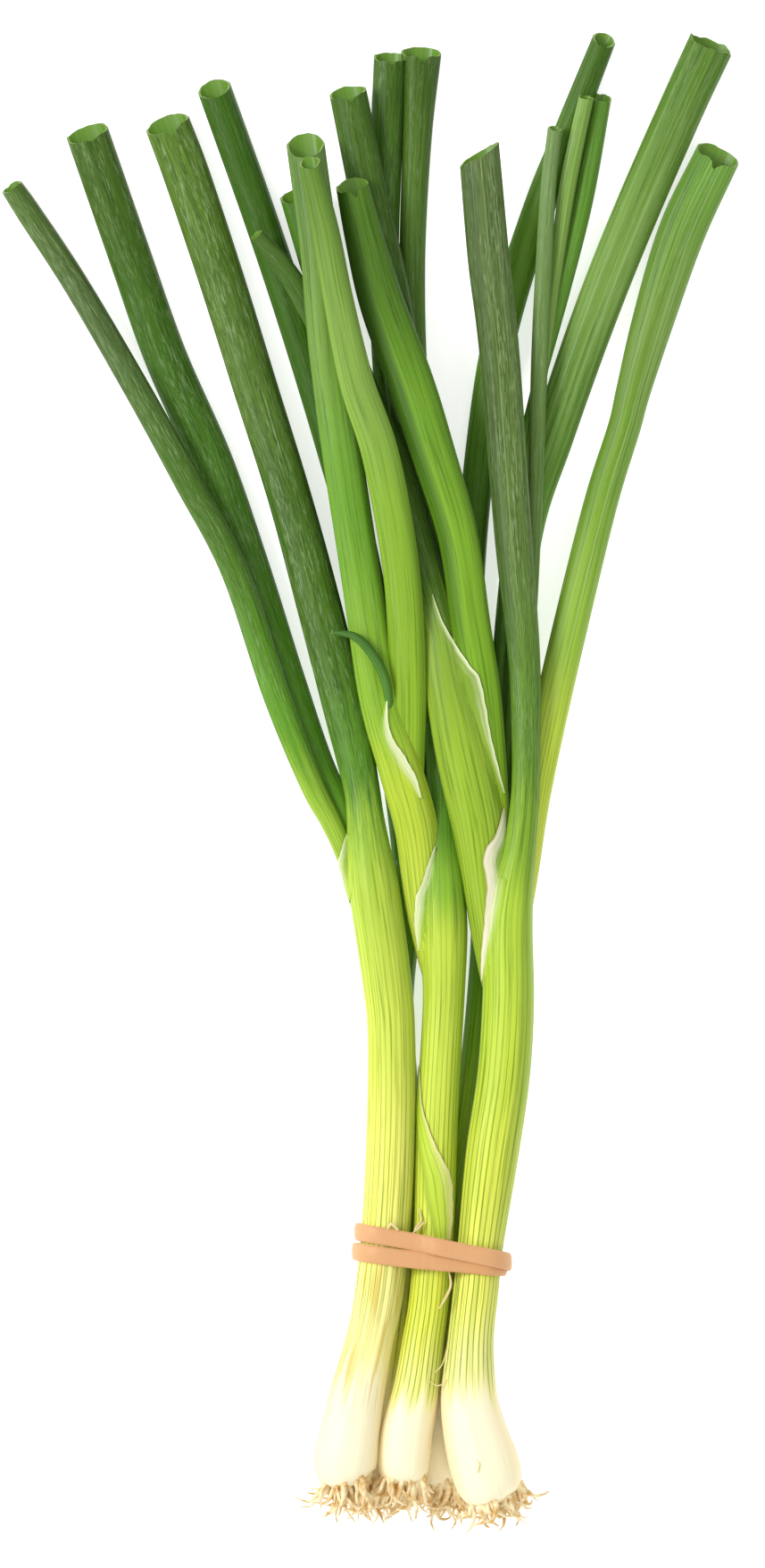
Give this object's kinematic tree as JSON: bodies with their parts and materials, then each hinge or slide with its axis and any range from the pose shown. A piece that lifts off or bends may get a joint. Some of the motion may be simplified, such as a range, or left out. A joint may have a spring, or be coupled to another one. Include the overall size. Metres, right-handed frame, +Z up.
{
  "type": "spring onion bunch",
  "caption": "Bunch of spring onions lying down: pale bulbs with roots, green shafts and hollow cut leaves, tied with a rubber band.",
  "frame": {"origin": "middle of the bunch's outline seen from above, at the surface it lies on", "axes": "+X across the bunch, +Y from the roots to the cut leaf ends, +Z up from the surface"},
  "size_m": [0.1652, 0.3366, 0.0256],
  "materials": {
    "dark_leaf": "dark green with a thin grey-green wax bloom and fine lengthwise veins",
    "bright_leaf": "bright smooth green, satin, with fine lengthwise veins",
    "shaft": "cream-white bulb, then yellow-green skin with dark green lengthwise veins, satin",
    "roots": "dry tan roots, matte",
    "rubber_band": "tan elastic band, satin"
  },
  "bodies": {
    "root": {"back_left_onion_dark_leaf": "dark_leaf", "back_left_onion_lobed_leaf": "dark_leaf", "back_left_onion_long_leaf": "dark_leaf", "back_left_onion_roots": "roots", "back_left_onion_stem": "shaft", "back_right_onion_broad_leaf": "dark_leaf", "back_right_onion_crossing_leaf": "dark_leaf", "back_right_onion_folded_leaf": "dark_leaf", "back_right_onion_pale_leaf": "dark_leaf", "back_right_onion_roots": "roots", "back_right_onion_slim_leaf": "dark_leaf", "back_right_onion_stem": "shaft", "left_onion_back_leaf": "dark_leaf", "left_onion_front_leaf": "dark_leaf", "left_onion_roots": "roots", "left_onion_stem": "shaft", "left_onion_thin_leaf": "dark_leaf", "middle_onion_back_leaf": "dark_leaf", "middle_onion_curled_sprout": "dark_leaf", "middle_onion_front_leaf": "bright_leaf", "middle_onion_left_leaf": "bright_leaf", "middle_onion_roots": "roots", "middle_onion_stem": "shaft", "middle_onion_young_leaf": "dark_leaf", "right_onion_bright_leaf": "bright_leaf", "right_onion_front_leaf": "dark_leaf", "right_onion_outer_leaf": "bright_leaf", "right_onion_roots": "roots", "right_onion_stem": "shaft", "right_onion_wide_leaf": "dark_leaf", "rubber_band": "rubber_band"}
  },
  "joints": []
}
